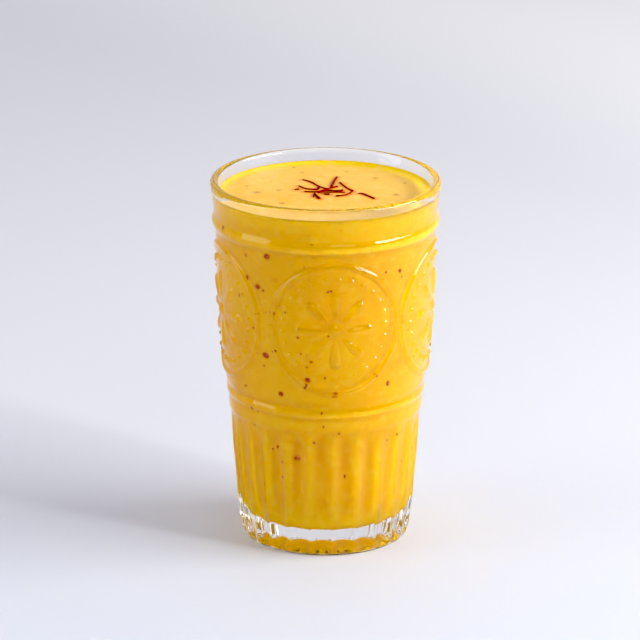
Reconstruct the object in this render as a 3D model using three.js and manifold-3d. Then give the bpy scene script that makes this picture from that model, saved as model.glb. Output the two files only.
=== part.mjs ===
// Mango lassi served in a tall pressed-glass tumbler.
// Millimetres, +Z up, the front of the glass looks along -Y.
// Azimuth is counted from the front (-Y) towards +X.
import * as THREE from 'three';
import { mergeVertices } from 'three/addons/utils/BufferGeometryUtils.js';
import Module from 'manifold-3d';

const wasm = await Module();
wasm.setup();

// Colours of the photograph
const GLASS_COLOUR = 0xdcdfe4;
const LASSI_COLOUR = 0xf2bd3c;

// Roundness of what is turned about the axis: three columns to a flute, fewer above the flutes
const FLUTED_COLUMNS = 72;
const PLAIN_COLUMNS = 48;

// Foot and heel of the tumbler
const RIM_HEIGHT = 141;
const FOOT_RECESS_DEPTH = 0.9;
const FOOT_RECESS_RADIUS = 20.5;
const FOOT_RING_INNER = 22.5;
const FOOT_RING_OUTER = 30.4;

// Rolled lip
const LIP_TUBE = 1.5;
const LIP_CENTRE_RADIUS = 42.35;
const LIP_STEPS = 6;

// Flutes round the lower part
const FLUTE_COUNT = 24;
const FLUTE_PHASE_DEG = 5.0;
const FLUTE_DEPTH = 1.7;
const FLUTES_END = 52;
const FLUTE_DEPTH_BY_HEIGHT = [
  [0.0, 0.0],
  [0.9, 0.4],
  [2.6, 1.1],
  [6.5, 1.7],
  [36.5, 1.7],
  [41.5, 1.5],
  [46.5, 0.9],
  [50.2, 0.0],
];

// Outer wall, radius and height, from the heel to the start of the lip
const OUTER_WALL = [
  [31.5, 0.9],
  [32.1, 2.6],
  [32.9, 6.5],
  [33.7, 12.6],
  [34.6, 24.6],
  [35.65, 36.5],
  [35.95, 41.5],
  [36.15, 46.5],
  [36.3, 50.2],
  [36.95, 51.6],
  [37.1, 53.6],
  [36.95, 56.5],
  [37.7, 59.0],
  [37.5, 61.0],
  [38.0, 62.9],
  [39.3, 72.0],
  [40.85, 89.0],
  [41.35, 101.0],
  [41.7, 113.5],
  [41.95, 121.4],
  [42.5, 123.0],
  [43.25, 125.7],
  [43.1, 127.0],
  [42.7, 128.4],
  [43.4, 136.6],
];

// Inner wall, radius and height, from under the lip down to the middle of the floor
const INNER_WALL = [
  [40.2, 136.5],
  [39.05, 110.0],
  [36.1, 72.0],
  [32.8, 40.0],
  [30.9, 22.0],
  [28.9, 13.6],
  [26.6, 10.8],
  [23.4, 9.2],
  [0.0, 8.6],
];

// Round medallions
const MEDALLION_AZIMUTHS = [5.1, 79.5, 183.0, -73.5];
const MEDALLION_HEIGHT = 93.0;
const MEDALLION_WRAP_RADIUS = 41.0;
const RING_RADIUS = 25.3;
const RING_STEPS = 36;
const RING_SECTION = [
  [-1.1, -0.4],
  [0.0, 0.85],
  [1.1, -0.4],
];
const BEAD_COUNT = 26;
const BEAD_CIRCLE = 20.2;
const BEAD_RADIUS = 1.35;
const BEAD_HEIGHT = 0.85;
const BEAD_SIDES = 6;
const PETAL_COUNT = 8;
const PETAL_START = 4.4;
const PETAL_END = 15.2;
const PETAL_STATIONS = [
  [0.28, 1.2, 0.5],
  [0.62, 2.2, 0.95],
  [0.88, 2.3, 0.9],
];
const PETAL_ROOT = -0.35;
const BOSS_RADIUS = 2.7;
const BOSS_HEIGHT = 1.0;
const BOSS_SIDES = 8;

// The drink, to the level of the photograph
const LASSI_GAP = 0.3;
const LASSI_LEVEL = 135.4;
const MENISCUS_TOP = 136.5;
const MENISCUS = [
  [39.3, 135.85],
  [37.9, 135.4],
];

// Saffron threads lying on the drink: thickness and points as x, y
const THREAD_SIDES = 5;
const THREAD_RISE = 0.1;
const THREADS = [
  [0.62, [[-8.7, 16.5], [-5.8, 13.9], [-2.9, 7.9], [0.0, 4.0], [1.0, 3.6]]],
  [0.85, [[4.3, 20.2], [2.9, 13.9], [2.2, 6.6]]],
  [0.6, [[5.4, 12.7], [7.5, 6.6], [9.4, 2.6], [10.3, 1.4]]],
  [0.6, [[10.3, 1.5], [8.9, -2.5], [6.8, -5.0], [3.9, -5.6]]],
  [0.6, [[12.4, -2.1], [13.5, -1.7], [15.7, -5.0], [18.3, -8.9]]],
  [0.55, [[-11.7, 3.3], [-10.2, 3.7]]],
  [0.6, [[-10.2, 7.9], [-8.4, 4.8], [-5.6, 3.3], [-2.7, 3.0]]],
  [0.7, [[-8.0, 0.5], [-5.1, -0.3], [-2.7, 0.1], [5.8, 1.4]]],
  [0.9, [[-4.2, -2.1], [-3.6, -5.1], [-2.4, -9.0]]],
  [0.75, [[-0.7, -3.2], [1.4, -3.6]]],
  [0.6, [[-1.9, 1.8], [1.0, 4.0], [4.4, 7.4]]],
  [0.7, [[-2.9, 0.0], [-0.7, 2.1], [1.4, 2.5], [3.3, 0.6], [5.7, 0.4], [6.3, 2.3]]],
  [0.75, [[-2.9, 8.4], [-2.6, 4.6]]],
  [0.45, [[-4.2, -0.9], [-4.6, -6.3]]],
  [0.4, [[-4.1, 0.4], [-2.6, -1.9], [1.4, -0.9], [7.3, -0.5]]],
];

function interpolate(table, key, keyColumn, valueColumn) {
  if (key <= table[0][keyColumn]) return table[0][valueColumn];
  for (let i = 1; i < table.length; i += 1) {
    const low = table[i - 1];
    const high = table[i];
    if (key <= high[keyColumn]) {
      const share = (key - low[keyColumn]) / (high[keyColumn] - low[keyColumn]);
      return low[valueColumn] + share * (high[valueColumn] - low[valueColumn]);
    }
  }
  return table[table.length - 1][valueColumn];
}

// Outer radius of the plain wall at one height
function wallRadius(height) {
  return interpolate(OUTER_WALL, height, 1, 0);
}

// How far a flute is pressed in: a hollow between two ridges, with an arched top
function fluteDepth(angle, height) {
  const pitch = 360 / FLUTE_COUNT;
  const turns = (THREE.MathUtils.radToDeg(angle) - FLUTE_PHASE_DEG) / pitch;
  const across = turns - Math.floor(turns) - 0.5;
  const reach = interpolate(FLUTE_DEPTH_BY_HEIGHT, height, 0, 1);
  return Math.max(0, reach - FLUTE_DEPTH * 4 * across * across);
}

function point(radius, angle, height) {
  return [radius * Math.sin(angle), -radius * Math.cos(angle), height];
}

function geometryOf(positions, indices) {
  const geometry = new THREE.BufferGeometry();
  geometry.setAttribute('position', new THREE.Float32BufferAttribute(positions, 3));
  geometry.setIndex(indices);
  return geometry;
}

// Joins two rings of points, each a list of point numbers, that may differ in count
function zipRings(lower, upper, indices) {
  let i = 0;
  let j = 0;
  while (i < lower.length || j < upper.length) {
    const a = lower[i % lower.length];
    const b = upper[j % upper.length];
    const lowerNext = (i + 1) / lower.length;
    const upperNext = (j + 1) / upper.length;
    if (i < lower.length && (lowerNext <= upperNext || j >= upper.length)) {
      indices.push(a, lower[(i + 1) % lower.length], b);
      i += 1;
    } else {
      indices.push(a, upper[(j + 1) % upper.length], b);
      j += 1;
    }
  }
}

// Turns a profile that starts and ends on the axis: radius, height, columns, fluted or not
function turned(profile) {
  const positions = [0, 0, profile[0].height];
  const indices = [];
  const rings = [];
  for (const { radius, height, columns, fluted } of profile.slice(1, -1)) {
    const ring = [];
    for (let c = 0; c < columns; c += 1) {
      const angle = THREE.MathUtils.degToRad(FLUTE_PHASE_DEG) + (2 * Math.PI * c) / columns;
      const depth = fluted ? fluteDepth(angle, height) : 0;
      ring.push(positions.length / 3);
      positions.push(...point(radius - depth, angle, height));
    }
    rings.push(ring);
  }
  const end = positions.length / 3;
  positions.push(0, 0, profile[profile.length - 1].height);
  zipRings([0], rings[0], indices);
  for (let row = 0; row < rings.length - 1; row += 1) zipRings(rings[row], rings[row + 1], indices);
  zipRings(rings[rings.length - 1], [end], indices);
  return closedSolid(positions, withoutRepeats(indices));
}

// Drops the empty triangles that a single point leaves where it closes a ring
function withoutRepeats(indices) {
  const kept = [];
  for (let i = 0; i < indices.length; i += 3) {
    const [a, b, c] = indices.slice(i, i + 3);
    if (a !== b && b !== c && c !== a) kept.push(a, b, c);
  }
  return kept;
}

// One ring of a profile
function ringAt([radius, height], columns, fluted) {
  return { radius, height, columns, fluted };
}

function solidOf(geometry) {
  const plain = geometry.clone();
  plain.deleteAttribute('normal');
  plain.deleteAttribute('uv');
  const merged = mergeVertices(plain, 1e-5);
  const mesh = new wasm.Mesh({
    numProp: 3,
    vertProperties: new Float32Array(merged.attributes.position.array),
    triVerts: new Uint32Array(merged.index.array),
  });
  return new wasm.Manifold(mesh);
}

function geometryFrom(solid) {
  const mesh = solid.getMesh();
  return geometryOf(Array.from(mesh.vertProperties), Array.from(mesh.triVerts));
}

// Lays a flat piece (across, up, out) on the wall round the middle of one medallion
function wrapped(positions, azimuth) {
  const out = [];
  const middle = THREE.MathUtils.degToRad(azimuth);
  for (let i = 0; i < positions.length; i += 3) {
    const height = MEDALLION_HEIGHT + positions[i + 1];
    const angle = middle + positions[i] / MEDALLION_WRAP_RADIUS;
    out.push(...point(wallRadius(height) + positions[i + 2], angle, height));
  }
  return out;
}

// Raised ring of the medallion
function ringPiece() {
  const positions = [];
  const indices = [];
  const sides = RING_SECTION.length;
  for (let i = 0; i < RING_STEPS; i += 1) {
    const turn = (2 * Math.PI * i) / RING_STEPS;
    for (const [across, out] of RING_SECTION) {
      const radius = RING_RADIUS + across;
      positions.push(radius * Math.sin(turn), radius * Math.cos(turn), out);
    }
  }
  for (let i = 0; i < RING_STEPS; i += 1) {
    const next = (i + 1) % RING_STEPS;
    for (let s = 0; s < sides; s += 1) {
      const t = (s + 1) % sides;
      indices.push(i * sides + s, next * sides + s, next * sides + t);
      indices.push(i * sides + s, next * sides + t, i * sides + t);
    }
  }
  return { positions, indices };
}

// Low pointed button: a bead of the ring or the boss in the middle
function buttonPiece(across, up, radius, height, sides, shoulder) {
  const positions = [across, up, height];
  const indices = [];
  const rings = shoulder ? [[0.6, 0.78], [1, 0], [1, -0.4]] : [[1, PETAL_ROOT / height]];
  for (const [share, level] of rings) {
    for (let s = 0; s < sides; s += 1) {
      const turn = (2 * Math.PI * s) / sides;
      const reach = radius * share;
      positions.push(across + reach * Math.sin(turn), up + reach * Math.cos(turn), level * height);
    }
  }
  positions.push(across, up, rings[rings.length - 1][1] * height);
  const end = positions.length / 3 - 1;
  for (let s = 0; s < sides; s += 1) {
    const t = (s + 1) % sides;
    indices.push(0, 1 + t, 1 + s);
    for (let row = 0; row < rings.length - 1; row += 1) {
      const a = 1 + row * sides;
      const b = a + sides;
      indices.push(a + s, a + t, b + t);
      indices.push(a + s, b + t, b + s);
    }
    const base = 1 + (rings.length - 1) * sides;
    indices.push(end, base + s, base + t);
  }
  return { positions, indices };
}

// One teardrop petal, narrow towards the middle of the rosette
function petalPiece(turn) {
  const along = [Math.sin(turn), Math.cos(turn)];
  const beside = [Math.cos(turn), -Math.sin(turn)];
  const length = PETAL_END - PETAL_START;
  const positions = [];
  const indices = [];
  const put = (share, side, out) => {
    const reach = PETAL_START + share * length;
    positions.push(reach * along[0] + side * beside[0], reach * along[1] + side * beside[1], out);
  };
  put(0, 0, PETAL_ROOT);
  for (const [share, half, top] of PETAL_STATIONS) {
    put(share, -half, PETAL_ROOT);
    put(share, 0, top);
    put(share, half, PETAL_ROOT);
  }
  put(1, 0, PETAL_ROOT);
  const end = 1 + PETAL_STATIONS.length * 3;
  indices.push(0, 2, 1, 0, 3, 2, 0, 1, 3);
  for (let i = 0; i < PETAL_STATIONS.length - 1; i += 1) {
    const a = 1 + i * 3;
    const b = a + 3;
    indices.push(a, a + 1, b + 1, a, b + 1, b);
    indices.push(a + 1, a + 2, b + 2, a + 1, b + 2, b + 1);
    indices.push(a + 2, a, b, a + 2, b, b + 2);
  }
  const tail = end - 3;
  indices.push(end, tail, tail + 1, end, tail + 1, tail + 2, end, tail + 2, tail);
  return { positions, indices };
}

function medallionPieces() {
  const pieces = [ringPiece()];
  for (let i = 0; i < BEAD_COUNT; i += 1) {
    const turn = (2 * Math.PI * (i + 0.25)) / BEAD_COUNT;
    const across = BEAD_CIRCLE * Math.sin(turn);
    const up = BEAD_CIRCLE * Math.cos(turn);
    pieces.push(buttonPiece(across, up, BEAD_RADIUS, BEAD_HEIGHT, BEAD_SIDES, false));
  }
  for (let i = 0; i < PETAL_COUNT; i += 1) {
    pieces.push(petalPiece((2 * Math.PI * i) / PETAL_COUNT));
  }
  pieces.push(buttonPiece(0, 0, BOSS_RADIUS, BOSS_HEIGHT, BOSS_SIDES, true));
  return pieces;
}

// A closed body facing out, whichever way round its triangles were listed
function closedSolid(positions, indices) {
  const solid = solidOf(geometryOf(positions, indices));
  if (solid.volume() > 0) return solid;
  const flipped = [];
  for (let i = 0; i < indices.length; i += 3) {
    flipped.push(indices[i], indices[i + 2], indices[i + 1]);
  }
  return solidOf(geometryOf(positions, flipped));
}

function lipProfile() {
  const points = [];
  for (let i = 0; i <= LIP_STEPS; i += 1) {
    const turn = (Math.PI * i) / LIP_STEPS;
    const radius = LIP_CENTRE_RADIUS + LIP_TUBE * Math.cos(turn);
    points.push([radius, RIM_HEIGHT - LIP_TUBE + LIP_TUBE * Math.sin(turn)]);
  }
  return points;
}

function buildGlass() {
  const foot = [
    [0, FOOT_RECESS_DEPTH],
    [FOOT_RECESS_RADIUS, FOOT_RECESS_DEPTH],
    [FOOT_RING_INNER, 0],
    [FOOT_RING_OUTER, 0],
  ];
  const profile = [
    ...foot.map((at) => ringAt(at, FLUTED_COLUMNS, false)),
    ...OUTER_WALL.map((at) => ringAt(at, at[1] < FLUTES_END ? FLUTED_COLUMNS : PLAIN_COLUMNS, true)),
    ...lipProfile().map((at) => ringAt(at, PLAIN_COLUMNS, false)),
    ...INNER_WALL.map((at) => ringAt(at, PLAIN_COLUMNS, false)),
  ];
  const body = turned(profile);
  const pieces = [];
  for (const azimuth of MEDALLION_AZIMUTHS) {
    for (const { positions, indices } of medallionPieces()) {
      pieces.push(closedSolid(wrapped(positions, azimuth), indices));
    }
  }
  return body.add(wasm.Manifold.union(pieces));
}

// Round thread along a bent line, closed at both ends
function threadSolid(thickness, line) {
  const positions = [];
  const indices = [];
  const radius = thickness / 2;
  const level = LASSI_LEVEL + THREAD_RISE;
  const last = line.length - 1;
  for (let i = 0; i <= last; i += 1) {
    const before = line[Math.max(0, i - 1)];
    const after = line[Math.min(last, i + 1)];
    const heading = Math.atan2(after[1] - before[1], after[0] - before[0]);
    for (let s = 0; s < THREAD_SIDES; s += 1) {
      const turn = (2 * Math.PI * (s + 0.25)) / THREAD_SIDES;
      const side = radius * Math.cos(turn);
      positions.push(line[i][0] - side * Math.sin(heading));
      positions.push(line[i][1] + side * Math.cos(heading));
      positions.push(level + radius * Math.sin(turn));
    }
  }
  for (let i = 0; i < last; i += 1) {
    for (let s = 0; s < THREAD_SIDES; s += 1) {
      const t = (s + 1) % THREAD_SIDES;
      const a = i * THREAD_SIDES;
      const b = a + THREAD_SIDES;
      indices.push(a + s, b + s, b + t, a + s, b + t, a + t);
    }
  }
  const end = last * THREAD_SIDES;
  for (let s = 1; s < THREAD_SIDES - 1; s += 1) {
    indices.push(0, s, s + 1);
    indices.push(end, end + s + 1, end + s);
  }
  return closedSolid(positions, indices);
}

function buildLassi() {
  const profile = INNER_WALL.slice(1).reverse().map(([radius, height]) => {
    const inset = radius > 0 ? LASSI_GAP : 0;
    return [radius - inset, height + LASSI_GAP];
  });
  profile.push([INNER_WALL[0][0] - LASSI_GAP, MENISCUS_TOP]);
  profile.push(...MENISCUS);
  profile.push([0, LASSI_LEVEL]);
  const drink = turned(profile.map((at) => ringAt(at, PLAIN_COLUMNS, false)));
  const threads = THREADS.map(([thickness, line]) => threadSolid(thickness, line));
  return drink.add(wasm.Manifold.union(threads));
}

function meshOf(name, solid, colour, options) {
  const geometry = geometryFrom(solid);
  geometry.computeVertexNormals();
  const material = new THREE.MeshStandardMaterial({ color: colour, ...options });
  const mesh = new THREE.Mesh(geometry, material);
  mesh.name = name;
  return mesh;
}

const part = new THREE.Group();
part.name = 'mango_lassi';
part.add(meshOf('glass', buildGlass(), GLASS_COLOUR, { roughness: 0.05, transparent: true, opacity: 0.35 }));
part.add(meshOf('lassi', buildLassi(), LASSI_COLOUR, { roughness: 0.45 }));

export default part;
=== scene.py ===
"""A mango lassi in a tall pressed-glass tumbler, dressed for its portrait.

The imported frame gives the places; every visible piece is modelled here at its
real size. Sizes of the pieces are millimetres, and those of the finishes and
the studio are metres. Azimuths are degrees, counted from the front of the
tumbler towards its right.
"""
import logging
import math
import random
from dataclasses import dataclass, field
from enum import Enum

import bmesh
import bpy
import numpy as np
from mathutils import Matrix, Vector


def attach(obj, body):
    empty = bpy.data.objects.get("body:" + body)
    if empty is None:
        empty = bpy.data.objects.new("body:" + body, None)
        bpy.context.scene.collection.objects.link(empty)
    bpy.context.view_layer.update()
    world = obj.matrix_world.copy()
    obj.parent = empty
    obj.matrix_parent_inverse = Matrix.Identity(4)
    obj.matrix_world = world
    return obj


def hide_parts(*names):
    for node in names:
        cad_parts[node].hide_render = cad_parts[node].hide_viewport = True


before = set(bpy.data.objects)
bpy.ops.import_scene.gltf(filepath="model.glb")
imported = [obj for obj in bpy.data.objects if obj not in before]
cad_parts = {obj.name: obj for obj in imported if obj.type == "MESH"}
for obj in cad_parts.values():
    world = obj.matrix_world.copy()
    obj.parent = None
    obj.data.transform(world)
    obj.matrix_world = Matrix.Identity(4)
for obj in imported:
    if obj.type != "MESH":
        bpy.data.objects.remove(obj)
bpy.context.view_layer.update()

logging.basicConfig(level=logging.INFO, format="%(message)s")
LOG = logging.getLogger("lassi")
MM = 0.001

Point2 = tuple[float, float]
Point3 = tuple[float, float, float]
Colour = tuple[float, float, float, float]
Layer = tuple[bpy.types.NodeSocket, Point2, float, Colour]


class Piece(Enum):
    """The pieces of the drink, by the name each carries in the scene."""

    GLASS = "tumbler_glass"
    DRINK = "lassi_body"
    THREADS = "saffron_threads"
    FLECKS = "spice_flecks"
    SPECKS = "fine_specks"
    BUBBLES = "surface_bubbles"
    FLOOR = "studio_floor"


class Selection(Enum):
    """What edit mode selects."""

    POINTS = "VERT"
    FACES = "FACE"


def deselect_all() -> None:
    """Leave nothing selected, as the frame is loaded selected."""
    bpy.ops.object.select_all(action="DESELECT")


def take(piece: bpy.types.Object) -> None:
    """Select one piece alone and make it the active one.

    Args:
        piece: The object to work on.
    """
    deselect_all()
    piece.select_set(True)
    bpy.context.view_layer.objects.active = piece


def open_mesh(piece: bpy.types.Object, selection: Selection = Selection.POINTS) -> None:
    """Enter edit mode on a piece with all of it selected.

    Args:
        piece: The object to edit.
        selection: Whether points or faces are picked.
    """
    take(piece)
    bpy.ops.object.mode_set(mode="EDIT")
    bpy.ops.mesh.select_mode(type=selection.value)
    bpy.ops.mesh.select_all(action="SELECT")


def close_mesh() -> None:
    """Return to object mode."""
    bpy.ops.object.mode_set(mode="OBJECT")


def weld(distance: float) -> None:
    """Merge the selected points that meet, face all outwards, and leave edit mode.

    Args:
        distance: How near, in metres, points that meet are.
    """
    bpy.ops.mesh.remove_doubles(threshold=distance)
    bpy.ops.mesh.normals_make_consistent(inside=False)
    close_mesh()


def smooth_through(knots: list[Point2] | tuple[Point2, ...], at: np.ndarray) -> np.ndarray:
    """Read a smooth curve that never overshoots its knots.

    Args:
        knots: Pairs of position and value, in rising position.
        at: Positions to read.

    Returns:
        The values of the curve at those positions.
    """
    x = np.array([k[0] for k in knots], float)
    y = np.array([k[1] for k in knots], float)
    step = np.diff(x)
    slope = np.diff(y) / step
    tangent = np.zeros_like(x)
    tangent[0], tangent[-1] = slope[0], slope[-1]
    for i in range(1, len(x) - 1):
        if slope[i - 1] * slope[i] > 0:
            a = 2 * step[i] + step[i - 1]
            b = step[i] + 2 * step[i - 1]
            tangent[i] = (a + b) / (a / slope[i - 1] + b / slope[i])
    where = np.clip(np.searchsorted(x, at) - 1, 0, len(x) - 2)
    t = np.clip((at - x[where]) / step[where], 0, 1)
    h = step[where]
    return (
        y[where] * (2 * t**3 - 3 * t**2 + 1)
        + tangent[where] * h * (t**3 - 2 * t**2 + t)
        + y[where + 1] * (3 * t**2 - 2 * t**3)
        + tangent[where + 1] * h * (t**3 - t**2)
    )


def straight_through(knots: tuple[Point2, ...], at: np.ndarray) -> np.ndarray:
    """Read straight lines from knot to knot."""
    return np.interp(at, [k[0] for k in knots], [k[1] for k in knots])


def hang(name: str, data: bpy.types.ID) -> bpy.types.Object:
    """Put new data into the scene.

    Args:
        name: Name of the new object.
        data: Its mesh, curve, lamp or camera.

    Returns:
        The object.
    """
    new = bpy.data.objects.new(name, data)
    bpy.context.scene.collection.objects.link(new)
    return new


def bell(away: np.ndarray, width: float) -> np.ndarray:
    """Fall softly from 1 to 0 with distance."""
    return np.exp(-((away / width) ** 2))


def spin_profile(name: str, outline: list[Point2], steps: int, start: float = 0.0) -> bpy.types.Object:
    """Turn an outline that starts and ends on the axis into a closed body.

    Args:
        name: Name of the new piece.
        outline: Radius and height of each point, in millimetres.
        steps: How many columns the body gets.
        start: Azimuth of the first column.

    Returns:
        The turned piece, its normals facing out.
    """
    mesh = bpy.data.meshes.new(name)
    points = [around(start, r, z) * MM for r, z in outline]
    mesh.from_pydata(points, [(i, i + 1) for i in range(len(points) - 1)], [])
    piece = hang(name, mesh)
    open_mesh(piece)
    bpy.ops.mesh.spin(steps=steps, angle=2 * math.pi, center=(0, 0, 0), axis=(0, 0, 1))
    bpy.ops.mesh.select_all(action="SELECT")
    weld(1e-6)
    return piece


def read_points(piece: bpy.types.Object) -> np.ndarray:
    """Read a piece's points in millimetres.

    Args:
        piece: The piece to read.

    Returns:
        One row of x, y, z for each point.
    """
    flat = np.zeros(len(piece.data.vertices) * 3)
    piece.data.vertices.foreach_get("co", flat)
    return flat.reshape(-1, 3) / MM


def write_points(piece: bpy.types.Object, points: np.ndarray) -> None:
    """Move a piece's points to rows of x, y, z in millimetres."""
    piece.data.vertices.foreach_set("co", (points * MM).ravel())
    piece.data.update()


def unroll(points: np.ndarray) -> tuple[np.ndarray, np.ndarray, np.ndarray]:
    """Give the azimuth in degrees, the radius and the height of each point."""
    x, y, height = points.T
    return np.degrees(np.arctan2(x, -y)), np.hypot(x, y), height


def apart(azimuth: np.ndarray, centre: float) -> np.ndarray:
    """Turn from one azimuth to others, from -180 to 180 degrees."""
    return (azimuth - centre + 180) % 360 - 180


def push_out(piece: bpy.types.Object, points: np.ndarray, scale: np.ndarray) -> None:
    """Move a piece's points away from the axis, each by its own factor."""
    points[:, :2] *= scale[:, None]
    write_points(piece, points)


def write_mask(piece: bpy.types.Object, name: str, values: np.ndarray) -> None:
    """Store one number for each point, for a material to read."""
    layer = piece.data.attributes.new(name=name, type="FLOAT", domain="POINT")
    layer.data.foreach_set("value", values.astype(np.float32))


def around(azimuth: float, radius: float, height: float) -> np.ndarray:
    """Place a point by azimuth in degrees, radius and height."""
    turn = math.radians(azimuth)
    return np.array([radius * math.sin(turn), -radius * math.cos(turn), height])


def dress(piece: bpy.types.Object, material: bpy.types.Material) -> None:
    """Give a piece one material and smooth faces.

    Args:
        piece: The piece to dress.
        material: Its finish.
    """
    piece.data.materials.clear()
    piece.data.materials.append(material)
    take(piece)
    bpy.ops.object.shade_smooth()


def seat(piece: bpy.types.Object, node: str = "") -> None:
    """Let a piece ride with the tumbler, hide the CAD part that it replaces, and log its point and face
    counts.

    Args:
        piece: The finished piece.
        node: The CAD node that it replaces, if any.
    """
    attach(piece, "root")
    if node:
        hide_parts(node)
    LOG.info("%s: %d points, %d faces", piece.name, len(piece.data.vertices), len(piece.data.polygons))


def copies_of(name: str, pattern: bpy.types.Object, places: list[Matrix]) -> bpy.types.Object:
    """Repeat one small form into a single piece, and remove the pattern.

    Args:
        name: Name of the new piece.
        pattern: The form to repeat, in millimetres about its own middle.
        places: One matrix for each copy, in millimetres.

    Returns:
        The piece with every copy as real mesh.
    """
    points = read_points(pattern) * MM
    points = np.c_[points, np.ones(len(points))]
    faces = [tuple(p.vertices) for p in pattern.data.polygons]
    all_points: list[np.ndarray] = []
    all_faces: list[tuple[int, ...]] = []
    for i, place in enumerate(places):
        moved = points @ np.array(place).T
        all_points.append(moved[:, :3] * MM)
        shift = i * len(points)
        all_faces += [tuple(v + shift for v in f) for f in faces]
    mesh = bpy.data.meshes.new(name)
    mesh.from_pydata(np.vstack(all_points).tolist(), [], all_faces)
    bpy.data.objects.remove(pattern)
    return hang(name, mesh)


class Wiring:
    """A node tree, with short ways to add and join nodes."""

    row_length = 8
    step_across = 220
    step_down = 180

    def __init__(self, tree: bpy.types.NodeTree) -> None:
        """Work on the tree of a material, a node group or the world."""
        self.tree = tree

    def add(self, kind: str, **settings: object) -> bpy.types.Node:
        """Add a node and set its plain properties.

        Args:
            kind: The node's type name.
            settings: Properties of the node.

        Returns:
            The new node.
        """
        node = self.tree.nodes.new(kind)
        row, column = divmod(len(self.tree.nodes), self.row_length)
        node.location = (self.step_across * column, -self.step_down * row)
        for key, value in settings.items():
            setattr(node, key, value)
        return node

    def join(self, source: bpy.types.NodeSocket, target: bpy.types.NodeSocket) -> None:
        """Link an output to an input."""
        self.tree.links.new(source, target)

    def feed(self, target: bpy.types.NodeSocket, value: object) -> None:
        """Set an input to a value or link it to an output.

        Args:
            target: The input.
            value: A number, a colour or an output socket.
        """
        if isinstance(value, bpy.types.NodeSocket):
            self.join(value, target)
        else:
            target.default_value = value

    def spots(self, scale: float, detail: float = 2.0, roughness: float = 0.5) -> bpy.types.NodeSocket:
        """Soft noise in object space.

        Args:
            scale: Noise features for each metre.
            detail: Octaves.
            roughness: How strong the finer octaves are.

        Returns:
            The noise value.
        """
        node = self.add("ShaderNodeGroup", node_tree=mottle())
        for number, value in zip(MOTTLE_INPUTS, (scale, detail, roughness)):
            node.inputs[number].default_value = value
        return node.outputs["Value"]

    def lay_out(self, node: bpy.types.Node, space: str = "Object") -> None:
        """Give a node the coordinates that it works on."""
        self.join(self.add("ShaderNodeTexCoord").outputs[space], node.inputs["Vector"])

    def place(self, axis: str, space: str = "Object") -> bpy.types.NodeSocket:
        """Read one coordinate of the spot that is shaded.

        Args:
            axis: X, Y or Z.
            space: The coordinates that are read, in metres for Object.

        Returns:
            The coordinate.
        """
        split = self.add("ShaderNodeSeparateXYZ")
        self.lay_out(split, space)
        return split.outputs[axis]

    def mask(self, name: str) -> bpy.types.NodeSocket:
        """Read a mask that the mesh carries."""
        return self.add("ShaderNodeAttribute", attribute_name=name).outputs["Fac"]

    def between(
        self, value: object, span: Point2, result: Point2 = (0.0, 1.0), easing: str = "SMOOTHSTEP"
    ) -> bpy.types.NodeSocket:
        """Map a value from one range to another.

        Args:
            value: The value to map.
            span: Where the result starts and where it ends.
            result: The first and the last result.
            easing: How it goes from one to the other.

        Returns:
            The mapped value.
        """
        node = self.add("ShaderNodeMapRange", interpolation_type=easing)
        self.feed(node.inputs["Value"], value)
        for name, number in zip(("From Min", "From Max", "To Min", "To Max"), (*span, *result)):
            node.inputs[name].default_value = number
        return node.outputs["Result"]

    def sum(self, kind: str, a: object, b: object) -> bpy.types.NodeSocket:
        """Combine two values by a math operation.

        Args:
            kind: The operation's name.
            a: First value.
            b: Second value.

        Returns:
            The result.
        """
        node = self.add("ShaderNodeMath", operation=kind)
        self.feed(node.inputs[0], a)
        self.feed(node.inputs[1], b)
        return node.outputs["Value"]

    def blend(self, share: object, a: object, b: object) -> bpy.types.NodeSocket:
        """Mix two colours.

        Args:
            share: How much of b shows.
            a: First colour.
            b: Second colour.

        Returns:
            The mixed colour.
        """
        node = self.add("ShaderNodeMix", data_type="RGBA")
        self.feed(node.inputs[0], share)
        self.feed(node.inputs[6], a)
        self.feed(node.inputs[7], b)
        return node.outputs[2]

    def relief(self, height: object, distance: float, strength: float = 1.0) -> bpy.types.NodeSocket:
        """Turn a height into a bumped normal.

        Args:
            height: Height of the surface, 0 to 1.
            distance: How far 1 stands out, in metres.
            strength: Share of the bump that is used.

        Returns:
            The normal.
        """
        node = self.add("ShaderNodeBump")
        node.inputs["Strength"].default_value = strength
        node.inputs["Distance"].default_value = distance
        self.feed(node.inputs["Height"], height)
        return node.outputs["Normal"]


class Bench(Wiring):
    """A material on the bench, from its first node to its finished surface."""

    def __init__(self, name: str) -> None:
        """Start an empty material.

        Args:
            name: Name of the material.
        """
        self.material = bpy.data.materials.new(name)
        self.material.use_nodes = True
        super().__init__(self.material.node_tree)
        self.tree.nodes.clear()
        self.output = self.add("ShaderNodeOutputMaterial")

    def skin(self, **inputs: object) -> bpy.types.Node:
        """Add the surface shader and feed it.

        Args:
            inputs: Input names, with underscores for spaces, and their values.

        Returns:
            The surface shader.
        """
        shader = self.add("ShaderNodeBsdfPrincipled")
        for key, value in inputs.items():
            self.feed(shader.inputs[key.replace("_", " ")], value)
        return shader

    def finish(self, shader: bpy.types.NodeSocket) -> bpy.types.Material:
        """Show a shader on the surface and hand the material over."""
        self.join(shader, self.output.inputs["Surface"])
        return self.material


class Pattern(Wiring):
    """A pattern that several finishes share, built once as a node group."""

    def __init__(self, name: str, numbers: tuple[str, ...], result: str) -> None:
        """Start the group and name its sockets.

        Args:
            name: Name of the group.
            numbers: Its inputs.
            result: Its output.
        """
        super().__init__(bpy.data.node_groups.new(name, "ShaderNodeTree"))
        for number in numbers:
            self.tree.interface.new_socket(name=number, in_out="INPUT", socket_type="NodeSocketFloat")
        self.tree.interface.new_socket(name=result, in_out="OUTPUT", socket_type="NodeSocketFloat")
        self.given = self.add("NodeGroupInput")
        self.result = self.add("NodeGroupOutput")


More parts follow.
